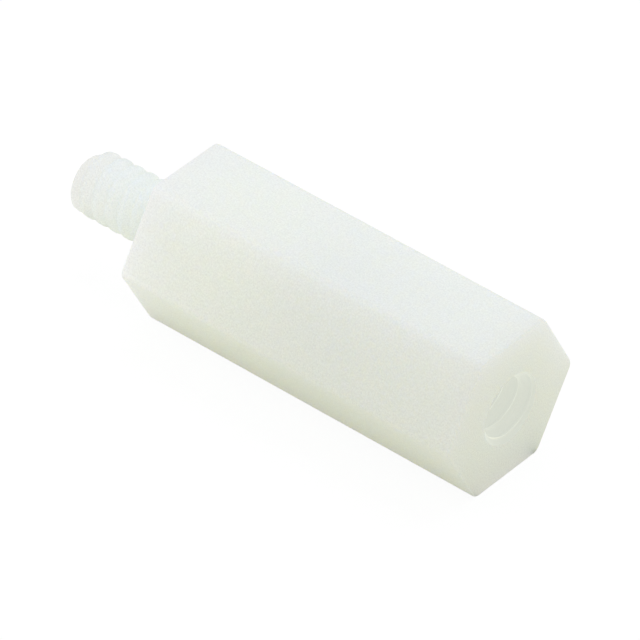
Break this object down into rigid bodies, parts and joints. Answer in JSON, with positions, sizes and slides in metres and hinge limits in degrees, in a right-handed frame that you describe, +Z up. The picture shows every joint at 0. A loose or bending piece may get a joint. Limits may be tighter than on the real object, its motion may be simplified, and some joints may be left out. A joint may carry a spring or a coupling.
{
  "type": "hex standoff",
  "caption": "Male-female hex standoff: a hexagonal plastic spacer with a threaded stud at one end and a blind tapped hole at the other.",
  "frame": {"origin": "on the axis in the plane of the shoulder, where the stud leaves the hexagonal body", "axes": "+X along the axis towards the tapped end, +Z up and square to the flat that the standoff lies on"},
  "size_m": [0.0205, 0.0072, 0.0064],
  "materials": {
    "nylon": "natural nylon, milky and slightly translucent, satin"
  },
  "bodies": {
    "root": {"standoff": "nylon"}
  },
  "joints": []
}
